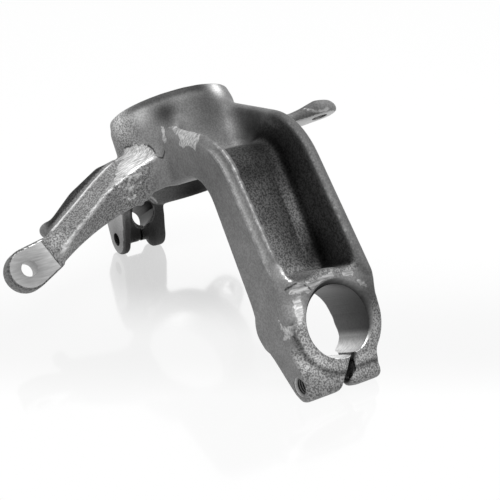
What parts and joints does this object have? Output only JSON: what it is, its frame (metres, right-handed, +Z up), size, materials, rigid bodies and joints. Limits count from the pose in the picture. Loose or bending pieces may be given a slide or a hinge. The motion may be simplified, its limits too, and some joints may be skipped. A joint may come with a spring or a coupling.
{
  "type": "steering knuckle",
  "caption": "Cast-iron steering knuckle: bearing housing, U-channel gooseneck to a split strut clamp, steering arm with tie-rod eye, split ball-joint clamp and caliper ears.",
  "frame": {"origin": "on the wheel axis, in the middle of the bearing seat", "axes": "+Z up with the casting lying on its four clamp ears, +X from the bearing housing towards the strut clamp, +Y away from the steering arm. The wheel axis leans 36.6 degrees from +Z towards -X."},
  "size_m": [0.292, 0.2785, 0.1546],
  "materials": {
    "casting": "sand-cast surface, machined seats"
  },
  "bodies": {
    "root": {"steering_knuckle": "casting"}
  },
  "joints": []
}
